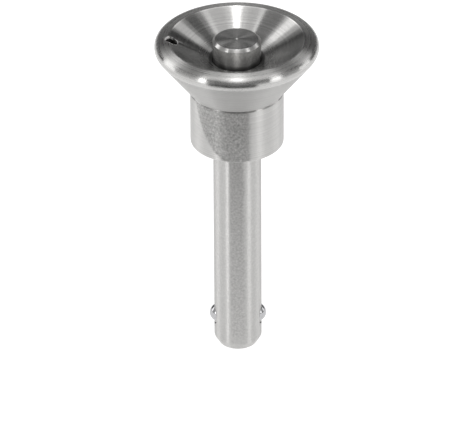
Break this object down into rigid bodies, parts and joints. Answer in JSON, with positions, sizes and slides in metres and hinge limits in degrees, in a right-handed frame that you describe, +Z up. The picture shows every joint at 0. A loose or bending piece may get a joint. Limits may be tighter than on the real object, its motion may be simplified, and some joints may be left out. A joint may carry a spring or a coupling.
{
  "type": "ball lock pin",
  "caption": "Push-button ball lock pin: hollow straight shank with spring-out locking balls, plain collar, flared head with a thumb dish and a lanyard hole.",
  "frame": {"origin": "centre of the shank's tip face, which the pin stands on", "axes": "+Z up the pin to the thumb dish; X runs through both locking balls, with the lanyard hole on the -X side"},
  "size_m": [0.034, 0.034, 0.0732],
  "materials": {
    "turned_handle": "fine turned, satin",
    "ground_shank": "ground, satin",
    "turned_button": "faced and turned",
    "polished_ball": "polished",
    "spindle_steel": "turned",
    "spring_wire": "drawn wire"
  },
  "bodies": {
    "pin": {"handle": "turned_handle", "shank": "ground_shank", "return_spring": "spring_wire"},
    "plunger": {"button": "turned_button", "spindle": "spindle_steel"},
    "left_ball": {"ball_left": "polished_ball"},
    "right_ball": {"ball_right": "polished_ball"}
  },
  "joints": [
    {"name": "button_press", "type": "slide", "parent": "pin", "child": "plunger", "axis": [0, 0, -1], "range_m": [0, 0.004], "stiffness_N_per_m": 1500, "springref_m": -0.004, "deforming": ["return_spring"]},
    {"name": "left_ball_slide", "type": "slide", "parent": "pin", "child": "left_ball", "axis": [1, 0, 0], "range_m": [0, 0.001]},
    {"name": "right_ball_slide", "type": "slide", "parent": "pin", "child": "right_ball", "axis": [-1, 0, 0], "range_m": [0, 0.001]}
  ],
  "couplings": [
    {"joint": "left_ball_slide", "follows": "button_press", "ratio": 0.25},
    {"joint": "right_ball_slide", "follows": "button_press", "ratio": 0.25}
  ]
}
